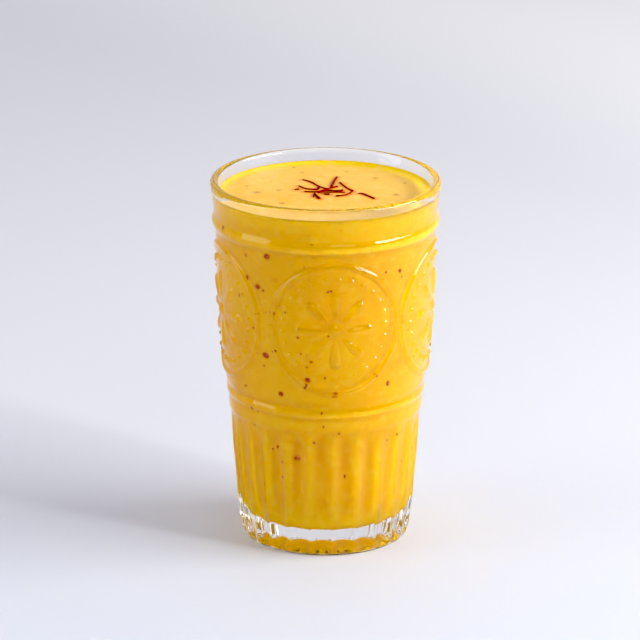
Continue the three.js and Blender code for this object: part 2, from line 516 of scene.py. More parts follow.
MOTTLE_INPUTS = ("Scale", "Detail", "Roughness")
FRECKLE_CELLS = 330.0
FRECKLE_EDGE = (0.05, 0.14)
FRECKLE_PATCHES = 160.0
FRECKLE_PATCH_EDGE = (0.54, 0.62)


def mottle() -> bpy.types.NodeTree:
    """Soft noise in object space, the uneven tone of every finish here.

    Returns:
        The group, built when it is first asked for.
    """
    known = bpy.data.node_groups.get("mottle")
    if known:
        return known
    pattern = Pattern("mottle", MOTTLE_INPUTS, "Value")
    noise = pattern.add("ShaderNodeTexNoise")
    pattern.lay_out(noise)
    for number in MOTTLE_INPUTS:
        pattern.join(pattern.given.outputs[number], noise.inputs[number])
    pattern.join(noise.outputs["Fac"], pattern.result.inputs["Value"])
    return pattern.tree


def freckles() -> bpy.types.NodeTree:
    """Scattered soft dots of fine spice.

    Returns:
        The group, built when it is first asked for.
    """
    known = bpy.data.node_groups.get("spice_freckles")
    if known:
        return known
    pattern = Pattern("spice_freckles", ("Share",), "Mask")
    cells = pattern.add("ShaderNodeTexVoronoi", feature="F1")
    pattern.lay_out(cells)
    cells.inputs["Scale"].default_value = FRECKLE_CELLS
    dots = pattern.between(cells.outputs["Distance"], FRECKLE_EDGE, (1.0, 0.0))
    chosen = pattern.between(pattern.spots(FRECKLE_PATCHES, 1.0), FRECKLE_PATCH_EDGE)
    shown = pattern.sum("MULTIPLY", chosen, pattern.given.outputs["Share"])
    pattern.join(pattern.sum("MULTIPLY", dots, shown), pattern.result.inputs["Mask"])
    return pattern.tree


@dataclass(frozen=True)
class ClearGlass:
    """Clear pressed glass with a slight wave left by the mould."""

    tint: Colour = (0.985, 0.99, 0.99, 1.0)
    roughness: float = 0.02
    index: float = 1.5
    wave: float = 0.00006
    waves: float = 95.0

    def make(self) -> bpy.types.Material:
        """Build the material.

        Returns:
            Glass that truly bends the light on its way to the drink.
        """
        bench = Bench("clear_pressed_glass")
        wave = bench.spots(self.waves, 2.0, 0.4)
        glass = bench.skin(
            Base_Color=self.tint,
            Roughness=self.roughness,
            IOR=self.index,
            Transmission_Weight=1.0,
            Normal=bench.relief(wave, self.wave),
        )
        return bench.finish(glass.outputs[0])


@dataclass(frozen=True)
class LassiFinish:
    """Thick mango yoghurt: paler on top, deeper where glass wets it, freckled with spice."""

    top: Colour = (0.985, 0.575, 0.075, 1.0)
    top_warm: Colour = (0.97, 0.52, 0.04, 1.0)
    # Partly the deeper wet rim, partly painted light: the colour of the band round the top.
    rim_wet_and_painted_light: Colour = (0.99, 0.66, 0.01, 1.0)
    foam: Colour = (0.99, 0.66, 0.16, 1.0)
    bleed: Colour = (0.84, 0.22, 0.02, 1.0)
    side: Colour = (0.96, 0.636, 0.006, 1.0)
    side_deep: Colour = (0.935, 0.562, 0.004, 1.0)
    side_high: Colour = (0.99, 0.63, 0.004, 1.0)
    # Painted shade: a darker colour for the drink's side near its foot.
    side_low_painted_shade: Colour = (0.86, 0.46, 0.003, 1.0)
    pulp: Colour = (0.98, 0.70, 0.04, 1.0)
    stain: Colour = (0.80, 0.35, 0.006, 1.0)
    freckle: Colour = (0.62, 0.26, 0.01, 1.0)
    clouds: float = 45.0
    flocks: float = 300.0
    froth: float = 230.0
    grain: float = 420.0
    stains: tuple[tuple[float, Point2, float], ...] = ((760.0, (0.57, 0.7), 0.2), (210.0, (0.64, 0.75), 0.35))
    foot_painted_shade_edge: Point2 = (0.0125, 0.0095)
    neck_edge: Point2 = (0.123, 0.131)
    mask_edge: Point2 = (0.05, 1.0)
    index: float = 1.38
    glow: float = 0.08
    glow_depth: float = 0.0015
    glow_colours: Point3 = (1.0, 0.55, 0.15)
    lumps: float = 0.00035

    def layered(self, bench: Bench, colour: object, layers: list[Layer]) -> bpy.types.NodeSocket:
        """Lay colours over one another.

        Args:
            bench: The material being built.
            colour: The colour under all of them.
            layers: Pattern, the span in which it comes in, its full share, and its colour.

        Returns:
            The mixed colour.
        """
        for pattern, span, share, over in layers:
            colour = bench.blend(bench.between(pattern, span, (0.0, share)), colour, over)
        return colour

    def freckled(self, bench: Bench, share: float, colour: object) -> bpy.types.NodeSocket:
        """Dot a colour with fine spice.

        Args:
            bench: The material being built.
            share: How strongly the dots show.
            colour: The colour under them.

        Returns:
            The dotted colour.
        """
        dots = bench.add("ShaderNodeGroup", node_tree=freckles())
        dots.inputs["Share"].default_value = share
        return bench.blend(dots.outputs["Mask"], colour, self.freckle)

    def thick(self, bench: Bench, colour: object, rough: Point2, gloss: float) -> bpy.types.Material:
        """Finish a coat of thick drink.

        Args:
            bench: The material being built.
            colour: Its colour.
            rough: Lowest and highest roughness.
            gloss: How strongly the surface mirrors.

        Returns:
            The finished material.
        """
        fine = bench.spots(self.grain, 3.0, 0.6)
        broad = bench.sum("MULTIPLY", bench.spots(self.clouds, 3.0), 0.9)
        uneven = bench.sum("ADD", bench.sum("MULTIPLY", fine, 0.35), broad)
        shader = bench.skin(
            Base_Color=colour,
            Roughness=bench.between(fine, (0.3, 0.75), rough),
            IOR=self.index,
            Specular_IOR_Level=gloss,
            Subsurface_Weight=self.glow,
            Subsurface_Scale=self.glow_depth,
            Subsurface_Radius=self.glow_colours,
            Normal=bench.relief(uneven, self.lumps, 0.6),
        )
        return bench.finish(shader.outputs[0])

    def make_side(self) -> bpy.types.Material:
        """Build the finish where the drink wets the glass.

        Returns:
            A deep, mottled yellow without any shine of its own, with painted shade towards the foot.
        """
        bench = Bench("lassi_against_glass")
        broad = bench.between(bench.spots(self.clouds, 3.0, 0.55), (0.35, 0.7))
        colour = bench.blend(broad, self.side, self.side_deep)
        layers = [
            # Painted shade: the side darkens towards the foot of the drink.
            (bench.place("Z"), self.foot_painted_shade_edge, 1.0, self.side_low_painted_shade),
            (bench.place("Z"), self.neck_edge, 0.9, self.side_high),
            (bench.spots(self.flocks, 3.0, 0.6), (0.46, 0.72), 0.65, self.pulp),
        ]
        layers += [(bench.spots(scale, 3.0), span, share, self.stain) for scale, span, share in self.stains]
        layers += [(bench.mask("stain"), self.mask_edge, 0.8, self.stain)]
        colour = self.layered(bench, colour, layers)
        colour = self.freckled(bench, 0.45, colour)
        return self.thick(bench, colour, (0.5, 0.6), 0.0)

    def make_top(self) -> bpy.types.Material:
        """Build the finish of the open surface.

        Returns:
            A paler yellow with a soft wet sheen, reddened under the saffron, with a rim band that is partly
            wet rim and partly painted light.
        """
        bench = Bench("lassi_surface")
        broad = bench.between(bench.spots(self.clouds, 3.0, 0.55), (0.4, 0.7))
        colour = bench.blend(broad, self.top, self.top_warm)
        # Painted light: the band round the top is partly the deeper wet rim and partly painted light,
        # strongest towards the back right.
        colour = bench.blend(bench.mask("rim_wet_and_painted_light_mask"), colour, self.rim_wet_and_painted_light)
        colour = self.layered(bench, colour, [
            (bench.spots(self.froth, 4.0, 0.65), (0.46, 0.7), 0.6, self.foam),
            (bench.mask("smudge"), self.mask_edge, 0.8, self.freckle),
            (bench.mask("bleed"), self.mask_edge, 0.85, self.bleed),
        ])
        colour = self.freckled(bench, 0.4, colour)
        return self.thick(bench, colour, (0.34, 0.5), 0.4)


@dataclass(frozen=True)
class DriedSpice:
    """Dark dried plant matter, streaked and a little glossy where it is wet."""

    name: str
    dark: Colour
    light: Colour
    streak: float = 900.0
    roughness: float = 0.42
    gloss: float = 0.5
    grain: float = 0.00008

    def make(self) -> bpy.types.Material:
        """Build the material.

        Returns:
            The spice's finish.
        """
        bench = Bench(self.name)
        coarse = bench.spots(self.streak * 0.35, 2.0)
        fine = bench.spots(self.streak, 3.0, 0.65)
        shade = bench.sum("MULTIPLY", bench.sum("ADD", coarse, fine), 0.5)
        shader = bench.skin(
            Base_Color=bench.blend(bench.between(shade, (0.38, 0.64)), self.dark, self.light),
            Roughness=bench.between(fine, (0.3, 0.7), (self.roughness - 0.12, self.roughness + 0.15)),
            Specular_IOR_Level=self.gloss,
            Normal=bench.relief(fine, self.grain),
        )
        return bench.finish(shader.outputs[0])


@dataclass(frozen=True)
class PaleSurface:
    """The pale studio floor, very slightly mottled, with painted shade towards the front and painted light
    towards the back right.
    """

    light: Colour = (0.815, 0.82, 0.86, 1.0)
    dark: Colour = (0.80, 0.805, 0.845, 1.0)
    # Painted shade: a darker floor colour towards the front.
    near: Colour = (0.717, 0.754, 0.834, 1.0)
    # Painted light: a lighter floor colour towards the back right.
    painted_light_back_right: Colour = (0.98, 0.985, 0.99, 1.0)
    painted_shade_near_edge: Point2 = (-0.08, 0.32)
    painted_light_back_right_edge: Point2 = (0.58, 0.92)
    roughness: float = 0.62
    patches: float = 9.0
    grain: float = 700.0
    grain_rise: float = 0.00002

    def make(self) -> bpy.types.Material:
        """Build the material.

        Returns:
            The floor's finish.
        """
        bench = Bench("pale_floor")
        colour = bench.blend(bench.spots(self.patches, 3.0), self.light, self.dark)
        # Painted shade: the floor darkens towards the front.
        colour = bench.blend(bench.between(bench.place("Y"), self.painted_shade_near_edge, (1.0, 0.0)), colour, self.near)
        # Painted light: the floor lightens towards the back right.
        corner = bench.sum("ADD", bench.place("X"), bench.place("Y"))
        shader = bench.skin(
            Base_Color=bench.blend(bench.between(corner, self.painted_light_back_right_edge), colour, self.painted_light_back_right),
            Roughness=self.roughness,
            Normal=bench.relief(bench.spots(self.grain, 2.0), self.grain_rise),
        )
        return bench.finish(shader.outputs[0])


@dataclass
class Medallion:
    """The round ornament: a ring, a circle of beads and a rosette of petals."""

    azimuths: tuple[float, ...] = (5.1, 79.5, 183.0, -73.5)
    height: float = 93.0
    wrap_radius: float = 41.0
    ring_radius: float = 25.3
    ring_half: float = 1.1
    ring_softening: float = 1.6
    ring_rise: float = 0.85
    bead_count: int = 26
    bead_circle: float = 20.2
    bead_radius: float = 1.3
    bead_rise: float = 0.85
    petal_count: int = 8
    petal_start: float = 4.2
    petal_end: float = 15.2
    petal_half: float = 2.6
    petal_rise: float = 1.05
    boss_radius: float = 2.7
    boss_rise: float = 1.0

    @property
    def reach(self) -> float:
        """Radius of all that the ornament changes."""
        return self.ring_radius + self.ring_half

    def flat(self, azimuth: np.ndarray, height: np.ndarray, centre: float) -> tuple[np.ndarray, np.ndarray]:
        """Unroll the wall about one medallion: the distance across and up from its middle."""
        return np.radians(apart(azimuth, centre)) * self.wrap_radius, height - self.height

    def rise(self, azimuth: np.ndarray, height: np.ndarray, broad: bool = False) -> np.ndarray:
        """How far the ornament stands out of the wall.

        Args:
            azimuth: Azimuths of the points, in degrees.
            height: Heights of the points.
            broad: Whether only the large forms count, softened as the inside of the glass repeats them.

        Returns:
            The relief in millimetres.
        """
        out = np.zeros_like(azimuth)
        ring_half = self.ring_half * (self.ring_softening if broad else 1)
        for centre in self.azimuths:
            across, up = self.flat(azimuth, height, centre)
            distance, turn = np.hypot(across, up), np.arctan2(across, up)
            ring = self.ring_rise * (1 - ((distance - self.ring_radius) / ring_half) ** 2)
            boss = self.boss_rise * (1 - (distance / self.boss_radius) ** 2)
            forms = [out, ring, boss, self.petals(distance, turn)]
            out = np.maximum.reduce(forms if broad else forms + [self.beads(across, up, turn)])
        return out

    def beads(self, across: np.ndarray, up: np.ndarray, turn: np.ndarray) -> np.ndarray:
        """Relief of the nearest bead.

        Args:
            across: Distance across from the middle.
            up: Distance up from the middle.
            turn: Angle round the middle.

        Returns:
            The relief in millimetres, negative between beads.
        """
        pitch = 2 * math.pi / self.bead_count
        nearest = (np.round(turn / pitch - 0.25) + 0.25) * pitch
        gap = np.hypot(across - self.bead_circle * np.sin(nearest), up - self.bead_circle * np.cos(nearest))
        return self.bead_rise * (1 - (gap / self.bead_radius) ** 2)

    def petals(self, distance: np.ndarray, turn: np.ndarray) -> np.ndarray:
        """Relief of the nearest petal, a teardrop that widens outwards.

        Args:
            distance: Distance from the middle.
            turn: Angle round the middle.

        Returns:
            The relief in millimetres.
        """
        pitch = 2 * math.pi / self.petal_count
        aside = turn - np.round(turn / pitch) * pitch
        along = (distance * np.cos(aside) - self.petal_start) / (self.petal_end - self.petal_start)
        share = np.clip(along, 1e-4, 1 - 1e-4)
        close = np.sqrt(1 - share**7)
        half = self.petal_half * share**0.7 * close
        crown = self.petal_rise * np.sqrt(share) * close
        rise = crown * (1 - (distance * np.sin(aside) / half) ** 2)
        return np.where((along > 0) & (along < 1), rise, 0.0)


@dataclass
class Tumbler:
    """The pressed-glass tumbler with its heavy foot, flutes, ring, medallions and rolled lip."""

    columns: int = 288
    rim_height: float = 141.0
    lip_tube: float = 1.5
    lip_radius: float = 42.29
    lip_points: int = 15
    flute_count: int = 24
    flute_phase: float = 5.0
    flute_depth: float = 1.7
    ridge_round: float = 0.06
    flute_follow: float = 1.3
    petal_follow: float = 0.95
    follow_span: tuple[Point2, ...] = (
        (13.0, 0.0), (16.0, 1.35), (27.0, 1.25), (40.0, 1.0), (45.0, 0.9), (48.5, 0.6), (50.6, 0.0),
    )
    pressed_span: Point2 = (0.85, 139.4)
    pressed_wall: float = 1.0
    refined_wall: float = 1.2
    refined_margin: float = 0.8
    medallion: Medallion = field(default_factory=Medallion)
    flute_reach: tuple[Point2, ...] = (
        (0.0, 0.0), (0.9, 0.4), (2.6, 1.1), (6.5, 1.7), (36.5, 1.7), (41.5, 1.5), (46.5, 0.9), (50.2, 0.0),
    )
    foot: tuple[Point2, ...] = (
        (0.0, 0.9), (10.0, 0.9), (20.3, 0.88), (21.0, 0.7), (21.8, 0.3), (22.6, 0.05), (23.6, 0.0),
        (29.9, 0.0), (30.5, 0.08), (31.0, 0.35),
    )
    outer: tuple[Point2, ...] = (
        (0.9, 31.45), (2.6, 32.1), (6.5, 32.9), (12.6, 33.7), (24.6, 34.6), (36.5, 35.65), (41.5, 35.95),
        (46.5, 36.15), (50.2, 36.3), (50.9, 36.55), (51.6, 36.95), (53.6, 37.1), (55.6, 37.05), (56.5, 36.95),
        (57.5, 37.35), (58.6, 37.85), (59.8, 37.8), (60.8, 37.4), (61.7, 37.55), (62.9, 37.98), (72.0, 39.3),
        (89.0, 40.85), (101.0, 41.35), (113.5, 41.7), (121.4, 41.9), (122.6, 42.1), (123.7, 42.75),
        (124.8, 43.2), (125.8, 43.28), (126.8, 43.05), (127.8, 42.6), (129.2, 42.55), (133.0, 42.95),
        (136.6, 43.42), (138.4, 43.7), (139.5, 43.79),
    )
    rows: tuple[tuple[float, float, float], ...] = (
        (0.9, 6.5, 0.8), (6.5, 38.0, 2.1), (38.0, 50.2, 0.9), (50.2, 63.0, 0.5), (63.0, 66.2, 1.1),
        (66.2, 121.0, 0.87), (121.0, 129.0, 0.42), (129.0, 139.5, 1.0),
    )
    inner: tuple[Point2, ...] = (
        (8.6, 0.0), (8.75, 14.0), (9.2, 23.4), (10.8, 26.6), (13.6, 28.9), (17.4, 30.15), (22.0, 30.9),
        (40.0, 32.8), (72.0, 36.1), (110.0, 39.05), (136.5, 40.2), (139.4, 40.78),
    )
    inner_rows: tuple[float, ...] = (
        138.0, 136.5, 134.5, 130.0, 120.0, 108.0, 96.0, 84.0, 72.0, 60.0, 48.0, 36.0, 28.0, 22.0, 19.0,
        17.0, 15.2,
    )
    inner_floor: tuple[Point2, ...] = (
        (28.9, 13.6), (28.2, 12.5), (27.4, 11.5), (26.4, 10.65), (25.2, 10.0), (23.4, 9.45), (20.0, 9.0),
        (12.0, 8.75), (0.0, 8.6),
    )

    def heights(self) -> np.ndarray:
        """Heights of the rows of the outer wall.

        Returns:
            Rising heights, closer together where there is relief.
        """
        levels: list[float] = []
        for low, high, pitch in self.rows:
            levels += np.linspace(low, high, max(2, round((high - low) / pitch)), endpoint=False).tolist()
        return np.array(levels)

    def inner_radius(self, height: np.ndarray) -> np.ndarray:
        """Radius of the inside at given heights."""
        return smooth_through(self.inner, height)

    def lip(self) -> list[Point2]:
        """The rolled lip, from outside over the top to inside.

        Returns:
            Radius and height of each point.
        """
        tube, radius, top = self.lip_tube, self.lip_radius, self.rim_height
        turns = np.linspace(0, math.pi, self.lip_points)
        return [(radius + tube * math.cos(t), top - tube + tube * math.sin(t)) for t in turns]

    def outline(self) -> list[Point2]:
        """The whole outline, from under the foot round to the floor inside.

        Returns:
            Radius and height of each point.
        """
        heights = self.heights()
        wall = list(zip(smooth_through(self.outer, heights).tolist(), heights.tolist()))
        inside = list(zip(self.inner_radius(np.array(self.inner_rows)).tolist(), self.inner_rows))
        return [*self.foot, *wall, *self.lip(), *inside, *self.inner_floor]

    def refine(self, piece: bpy.types.Object, beyond: float) -> None:
        """Divide the faces under the medallions, where the relief is finest.

        Args:
            piece: The turned tumbler or drink.
            beyond: How far outside the inner wall the faces to divide lie at least.
        """
        open_mesh(piece, Selection.FACES)
        bpy.ops.mesh.select_all(action="DESELECT")
        mesh = bmesh.from_edit_mesh(piece.data)
        azimuth, radius, height = unroll(np.array([face.calc_center_median() for face in mesh.faces]) / MM)
        outside = radius > self.inner_radius(height) + beyond
        near = np.zeros(len(height), bool)
        for centre in self.medallion.azimuths:
            away = np.hypot(*self.medallion.flat(azimuth, height, centre))
            near |= away < self.medallion.reach + self.refined_margin
        for face, chosen in zip(mesh.faces, near & outside):
            face.select_set(bool(chosen))
        bmesh.update_edit_mesh(piece.data)
        bpy.ops.mesh.subdivide(number_cuts=1)
        close_mesh()

    def ridge(self, azimuth: np.ndarray) -> np.ndarray:
        """How near a point is to the ridge between two flutes.

        Args:
            azimuth: Azimuths of the points, in degrees.

        Returns:
            1 on a ridge, falling to 0 in the middle of a flute.
        """
        across = ((azimuth - self.flute_phase) / (360 / self.flute_count)) % 1 - 0.5
        away = 1 - 2 * np.abs(across)
        blunt = self.ridge_round
        away = (np.hypot(away, blunt) - blunt) / (math.hypot(1, blunt) - blunt)
        return (1 - away) ** 2

    def swell(self, azimuth: np.ndarray, height: np.ndarray) -> np.ndarray:
        """How far the drink's side stands out behind the pressed forms, in millimetres."""
        flutes = self.flute_follow * straight_through(self.follow_span, height) * self.ridge(azimuth)
        return flutes + self.petal_follow * self.medallion.rise(azimuth, height, broad=True)

    def press(self, piece: bpy.types.Object) -> None:
        """Give the outer wall its flutes and medallions.

        Args:
            piece: The refined tumbler.
        """
        points = read_points(piece)
        azimuth, radius, height = unroll(points)
        low, high = self.pressed_span
        outer = (radius > self.inner_radius(height) + self.pressed_wall) & (height > low) & (height < high)
        reach = straight_through(self.flute_reach, height)
        hollow = np.maximum(0, reach - self.flute_depth * self.ridge(azimuth))
        pressed = smooth_through(self.outer, height) - hollow + self.medallion.rise(azimuth, height)
        push_out(piece, points, np.where(outer, pressed / np.maximum(radius, 1e-6), 1.0))

    def build(self) -> None:
        """Model the tumbler as one closed body."""
        piece = spin_profile(Piece.GLASS.value, self.outline(), self.columns, self.flute_phase)
        self.refine(piece, self.refined_wall)
        self.press(piece)
        dress(piece, ClearGlass().make())
        seat(piece, "glass")


@dataclass
class Saffron:
    """Saffron threads lying half sunk on the drink."""

    level: float = 135.5
    threads: tuple[tuple[float, tuple[Point2, ...]], ...] = (
        (0.31, ((-8.7, 16.5), (-5.8, 13.9), (-2.9, 7.9), (0.0, 4.0), (1.0, 3.6))),
        (0.42, ((4.3, 20.2), (2.9, 13.9), (2.2, 6.6))),
        (0.30, ((5.4, 12.7), (7.5, 6.6), (9.4, 2.6), (10.3, 1.4))),
        (0.30, ((10.3, 1.5), (8.9, -2.5), (6.8, -5.0), (3.9, -5.6))),
        (0.30, ((12.4, -2.1), (13.5, -1.7), (15.7, -5.0), (18.3, -8.9))),
        (0.27, ((-11.7, 3.3), (-10.2, 3.7))),
        (0.30, ((-10.2, 7.9), (-8.4, 4.8), (-5.6, 3.3), (-2.7, 3.0))),
        (0.35, ((-8.0, 0.5), (-5.1, -0.3), (-2.7, 0.1), (5.8, 1.4))),
        (0.45, ((-4.2, -2.1), (-3.6, -5.1), (-2.4, -9.0))),
        (0.37, ((-0.7, -3.2), (1.4, -3.6))),
        (0.30, ((-1.9, 1.8), (1.0, 4.0), (4.4, 7.4))),
        (0.35, ((-2.9, 0.0), (-0.7, 2.1), (1.4, 2.5), (3.3, 0.6), (5.7, 0.4), (6.3, 2.3))),
        (0.37, ((-2.9, 8.4), (-2.6, 4.6))),
        (0.22, ((-4.2, -0.9), (-4.6, -6.3))),
        (0.20, ((-4.1, 0.4), (-2.6, -1.9), (1.4, -0.9), (7.3, -0.5))),
    )
    flare: tuple[float, ...] = (0.75, 1.0, 0.85, 1.1, 1.3)
    seed: int = 40
    unevenness: Point2 = (-0.05, 0.08)

    def curve(self, thickness: float, line: tuple[Point2, ...], index: int) -> bpy.types.Object:
        """Lay one thread as a round bent form that swells towards one end.

        Args:
            thickness: Half the thread's thickness.
            line: Points along the thread.
            index: Number of the thread, which sets its small bends.

        Returns:
            The thread as a closed mesh.
        """
        chance = random.Random(self.seed + index)
        data = bpy.data.curves.new(f"thread_{index}", "CURVE")
        data.dimensions = "3D"
        data.bevel_depth = thickness * MM
        data.bevel_resolution = 3
        data.resolution_u = 10
        data.use_fill_caps = True
        spline = data.splines.new("NURBS")
        spline.points.add(len(line) - 1)
        for i, (x, y) in enumerate(line):
            share = i / (len(line) - 1)
            lift = chance.uniform(*self.unevenness)
            spline.points[i].co = (x * MM, y * MM, (self.level + lift) * MM, 1.0)
            spline.points[i].radius = float(np.interp(share, np.linspace(0, 1, len(self.flare)), self.flare))
        spline.use_endpoint_u = True
        spline.order_u = min(3, len(line))
        take(hang(data.name, data))
        bpy.ops.object.convert(target="MESH")
        return bpy.context.view_layer.objects.active

    def marks(self) -> np.ndarray:
        """Points spread along every thread, where colour bleeds into the drink.

        Returns:
            Rows of x and y.
        """
        rows: list[list[float]] = []
        for _, line in self.threads:
            for a, b in zip(line[:-1], line[1:]):
                for t in np.linspace(0, 1, 6):
                    rows.append([a[0] + t * (b[0] - a[0]), a[1] + t * (b[1] - a[1])])
        return np.array(rows)

    def build(self) -> None:
        """Model all the threads as one piece."""
        made = [self.curve(thick, line, i) for i, (thick, line) in enumerate(self.threads)]
        deselect_all()
        for piece in made:
            piece.select_set(True)
        bpy.context.view_layer.objects.active = made[0]
        bpy.ops.object.join()
        piece = bpy.context.view_layer.objects.active
        piece.name = Piece.THREADS.value
        open_mesh(piece)
        weld(1e-7)
        finish = DriedSpice("saffron", (0.11, 0.005, 0.003, 1.0), (0.40, 0.016, 0.008, 1.0), gloss=0.06)
        dress(piece, finish.make())
        seat(piece)


@dataclass
class Flecks:
    """Spice in the drink: named larger flecks seen through the front, and finer ones all round."""

    tumbler: Tumbler
    seed: int = 11
    larger: tuple[tuple[float, float, float, float], ...] = (
        (-32.8, 120.4, 1.55, 1.25), (-39.3, 107.7, 1.35, 1.2), (-35.8, 80.7, 1.75, 1.3),
        (-10.5, 72.7, 1.2, 1.5), (-11.4, 70.4, 0.6, 0.8), (-27.1, 66.0, 1.25, 1.1), (5.4, 66.7, 1.35, 0.75),
        (38.9, 69.0, 0.8, 1.25), (-19.3, 39.8, 2.2, 0.8), (-67.6, 125.6, 0.8, 0.8),
        (-47.4, 119.0, 0.5, 0.95), (-46.3, 110.4, 0.65, 1.2), (-35.7, 106.6, 0.55, 0.6),
        (-53.7, 102.1, 0.7, 0.8), (-29.5, 98.5, 0.6, 0.8), (-43.8, 90.7, 0.6, 0.5), (1.7, 90.8, 0.6, 0.55),
        (-15.5, 89.7, 0.65, 0.5), (-30.7, 82.9, 0.6, 0.5), (-37.5, 76.3, 0.4, 0.5), (-8.1, 80.2, 0.75, 0.5),
        (-10.7, 78.0, 0.7, 0.35), (-50.7, 57.4, 0.6, 0.7), (-49.6, 50.6, 0.5, 0.6), (-2.4, 58.9, 0.5, 0.5),
        (-1.3, 53.6, 0.45, 0.5), (8.3, 51.0, 0.55, 0.5), (-7.3, 47.0, 0.5, 0.5), (-32.1, 43.5, 0.55, 0.7),
        (-28.2, 37.6, 0.5, 0.6), (-28.8, 31.4, 0.5, 0.55), (-44.5, 26.6, 0.6, 0.6), (12.8, 32.6, 0.5, 0.9),
        (43.4, 113.5, 0.9, 0.9), (50.3, 46.3, 0.55, 0.6), (1.3, 108.3, 0.6, 0.45),
    )
    on_top: tuple[tuple[float, float, float], ...] = (
        (-26.0, -0.2, 0.55), (-17.9, 2.5, 0.35), (-16.4, -14.9, 0.45), (26.6, -3.5, 0.5), (19.0, 18.9, 0.45),
        (-12.2, 34.0, 0.3), (-9.1, 27.1, 0.3), (30.1, 12.0, 0.3), (-30.0, 8.0, 0.3), (8.0, 28.0, 0.25),
    )
    top_level: float = 135.42
    proud: float = 0.24
    half_thickness: float = 0.14
    lumps: Point2 = (0.78, 1.15)
    top_form: Point3 = (0.6, 0.45, 0.1)
    scattered: int = 260
    behind: float = 0.8
    fine: int = 420
    fine_size: Point2 = (0.07, 0.17)
    front: Point2 = (-45.0, 48.0)
    back: Point2 = (48.0, 322.0)
    smallest: float = 0.16
    size_span: float = 0.5
    foot: float = 12.0
    span: float = 121.0

    def pattern(self) -> bpy.types.Object:
        """One lumpy crumb of spice, about its own middle.

        Returns:
            A closed form of unit radius, in millimetres.
        """
        deselect_all()
        bpy.ops.mesh.primitive_ico_sphere_add(subdivisions=1, radius=1.0)
        crumb = bpy.context.active_object
        chance = random.Random(self.seed)
        for vertex in crumb.data.vertices:
            vertex.co *= chance.uniform(*self.lumps)
        return crumb

    def place(self, azimuth: float, height: float, wide: float, tall: float, turn: float) -> Matrix:
        """Lay a fleck flat against the inside of the glass.

        Args:
            azimuth: Azimuth in degrees.
            height: Height of its middle.
            wide: Half its width.
            tall: Half its height.
            turn: Turn in its own plane, in degrees.

        Returns:
            The matrix of the fleck.
        """
        row = np.array([height])
        out = self.tumbler.inner_radius(row) + self.tumbler.swell(np.array([azimuth]), row)
        radius = float(out[0]) + self.proud
        face = Matrix.Rotation(math.radians(azimuth), 4, "Z")
        spin = Matrix.Rotation(math.radians(turn), 4, "Y")
        size = Matrix.Diagonal((wide, self.half_thickness, tall, 1.0))
        return Matrix.Translation(Vector(around(azimuth, radius, height))) @ face @ spin @ size

    def side_spots(self) -> list[tuple[float, float, float]]:
        """Azimuth, height and size of every larger fleck, for the stain around it."""
        return [(a, z, 0.5 * (w + t)) for a, z, w, t in self.larger]

    def build(self) -> None:
        """Model the larger flecks and the fine specks."""
        chance = random.Random(self.seed)
        places = [self.place(a, z, w, t, chance.uniform(-25, 25)) for a, z, w, t in self.larger]
        for x, y, size in self.on_top:
            spin = Matrix.Rotation(chance.uniform(0, 3), 4, "Z")
            long, wide, thick = self.top_form
            flat = Matrix.Diagonal((size * long, size * wide, thick, 1.0))
            places.append(Matrix.Translation((x, y, self.top_level)) @ spin @ flat)
        for _ in range(self.scattered):
            azimuth = chance.uniform(*(self.back if chance.random() < self.behind else self.front))
            height = self.foot + self.span * math.sqrt(chance.random())
            size = self.smallest + self.size_span * chance.random() ** 4
            tall = size * chance.uniform(0.6, 1.5)
            places.append(self.place(azimuth, height, size, tall, chance.uniform(0, 90)))
        fine_places = []
        for _ in range(self.fine):
            size = chance.uniform(*self.fine_size)
            height = self.foot + 1 + self.span * chance.random() ** 0.6
            fine_places.append(self.place(chance.uniform(-180, 180), height, size, size, 0.0))
        for name, spots, finish, dark, light in (
            (Piece.FLECKS, places, "spice_fleck", (0.43, 0.075, 0.004, 1.0), (0.76, 0.22, 0.01, 1.0)),
            (Piece.SPECKS, fine_places, "fine_spice", (0.55, 0.19, 0.006, 1.0), (0.74, 0.32, 0.012, 1.0)),
        ):
            crumbs = copies_of(name.value, self.pattern(), spots)
            dress(crumbs, DriedSpice(finish, dark, light, 1400.0, gloss=0.0).make())
            seat(crumbs)


